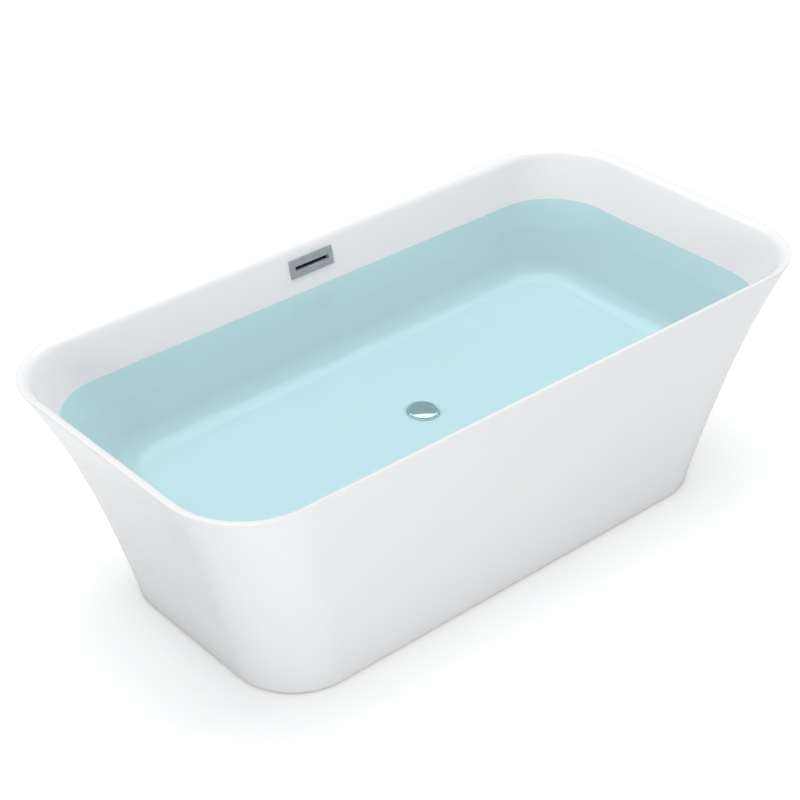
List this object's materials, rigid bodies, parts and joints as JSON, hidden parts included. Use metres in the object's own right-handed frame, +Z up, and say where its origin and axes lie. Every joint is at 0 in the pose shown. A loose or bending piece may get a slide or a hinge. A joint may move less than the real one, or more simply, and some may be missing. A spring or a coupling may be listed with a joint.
{
  "type": "freestanding bathtub",
  "caption": "Freestanding double-ended bathtub with a flared skirt, thin rolled rim, slot overflow, push-to-open waste and levelling feet.",
  "frame": {"origin": "on the ground at the middle of the footprint, under the waste", "axes": "+X along the tub, +Y across it towards the wall that carries the overflow, +Z up"},
  "size_m": [1.7, 0.85, 0.584],
  "materials": {
    "white_acrylic": "high gloss white sanitary acrylic",
    "glass_fibre": "sprayed glass-fibre laminate, rough and cream",
    "board": "moisture-resistant particle board under resin",
    "galvanised": "bright galvanised steel",
    "zinc_fixing": "zinc-plated fixings",
    "satin_metal": "satin stainless steel",
    "chrome": "polished chrome plate",
    "brass": "turned brass",
    "black_rubber": "soft black rubber",
    "grey_rubber": "grey sealing rubber",
    "white_plastic": "moulded white plastic",
    "black_plastic": "moulded black plastic",
    "grey_plastic": "grey flexible hose plastic",
    "spring_steel": "spring steel wire"
  },
  "bodies": {
    "tub": {"basin": "white_acrylic", "outer_skirt": "white_acrylic", "glass_fibre_layer": "glass_fibre", "base_board": "board", "skirt_stiffening_band": "glass_fibre", "frame_rails": "galvanised", "frame_cross_members": "galvanised", "frame_bolts": "zinc_fixing", "skirt_brackets": "galvanised", "bracket_screws": "zinc_fixing", "foot_weld_nuts": "zinc_fixing", "foot_lock_nuts": "zinc_fixing", "overflow_cover": "satin_metal", "overflow_plate": "satin_metal", "overflow_screws": "zinc_fixing", "overflow_gasket": "black_rubber", "overflow_housing": "black_plastic", "overflow_duct": "white_plastic", "overflow_boot": "white_plastic", "overflow_hose": "grey_plastic", "hose_clamps": "satin_metal", "hose_clamp_screws": "zinc_fixing", "drain_flange": "chrome", "drain_flange_seal": "grey_rubber", "drain_floor_washer": "black_rubber", "drain_friction_washer": "white_plastic", "drain_locknut": "brass", "waste_tee": "white_plastic", "tee_seal": "grey_rubber", "tailpiece": "brass", "slip_nut": "brass", "slip_washer": "grey_rubber", "stopper_cartridge": "brass", "stopper_spring": "spring_steel"},
    "foot_1": {"foot_1_pad": "black_plastic", "foot_1_sole": "black_rubber"},
    "stud_1": {"foot_1_stud": "zinc_fixing"},
    "foot_2": {"foot_2_pad": "black_plastic", "foot_2_sole": "black_rubber"},
    "stud_2": {"foot_2_stud": "zinc_fixing"},
    "foot_3": {"foot_3_pad": "black_plastic", "foot_3_sole": "black_rubber"},
    "stud_3": {"foot_3_stud": "zinc_fixing"},
    "foot_4": {"foot_4_pad": "black_plastic", "foot_4_sole": "black_rubber"},
    "stud_4": {"foot_4_stud": "zinc_fixing"},
    "stopper": {"stopper_cap": "chrome", "stopper_seal": "black_rubber", "stopper_plunger": "brass"}
  },
  "joints": [
    {"name": "foot_1_reach", "type": "slide", "parent": "tub", "child": "foot_1", "axis": [0, 0, -1], "range_m": [-0.004, 0.02]},
    {"name": "foot_1_turn", "type": "hinge", "parent": "foot_1", "child": "stud_1", "pos_m": [-0.45, -0.17, 0.016], "axis": [0, 0, -1], "range_deg": [-825, 4117]},
    {"name": "foot_2_reach", "type": "slide", "parent": "tub", "child": "foot_2", "axis": [0, 0, -1], "range_m": [-0.004, 0.02]},
    {"name": "foot_2_turn", "type": "hinge", "parent": "foot_2", "child": "stud_2", "pos_m": [-0.45, 0.17, 0.016], "axis": [0, 0, -1], "range_deg": [-825, 4117]},
    {"name": "foot_3_reach", "type": "slide", "parent": "tub", "child": "foot_3", "axis": [0, 0, -1], "range_m": [-0.004, 0.02]},
    {"name": "foot_3_turn", "type": "hinge", "parent": "foot_3", "child": "stud_3", "pos_m": [0.45, -0.17, 0.016], "axis": [0, 0, -1], "range_deg": [-825, 4117]},
    {"name": "foot_4_reach", "type": "slide", "parent": "tub", "child": "foot_4", "axis": [0, 0, -1], "range_m": [-0.004, 0.02]},
    {"name": "foot_4_turn", "type": "hinge", "parent": "foot_4", "child": "stud_4", "pos_m": [0.45, 0.17, 0.016], "axis": [0, 0, -1], "range_deg": [-825, 4117]},
    {"name": "stopper_lift", "type": "slide", "parent": "tub", "child": "stopper", "axis": [0, 0, 1], "range_m": [0, 0.011], "deforming": ["stopper_spring"]}
  ],
  "couplings": [
    {"joint": "foot_1_turn", "follows": "foot_1_reach", "rad_per_m": 3590.4},
    {"joint": "foot_2_turn", "follows": "foot_2_reach", "rad_per_m": 3590.4},
    {"joint": "foot_3_turn", "follows": "foot_3_reach", "rad_per_m": 3590.4},
    {"joint": "foot_4_turn", "follows": "foot_4_reach", "rad_per_m": 3590.4}
  ]
}
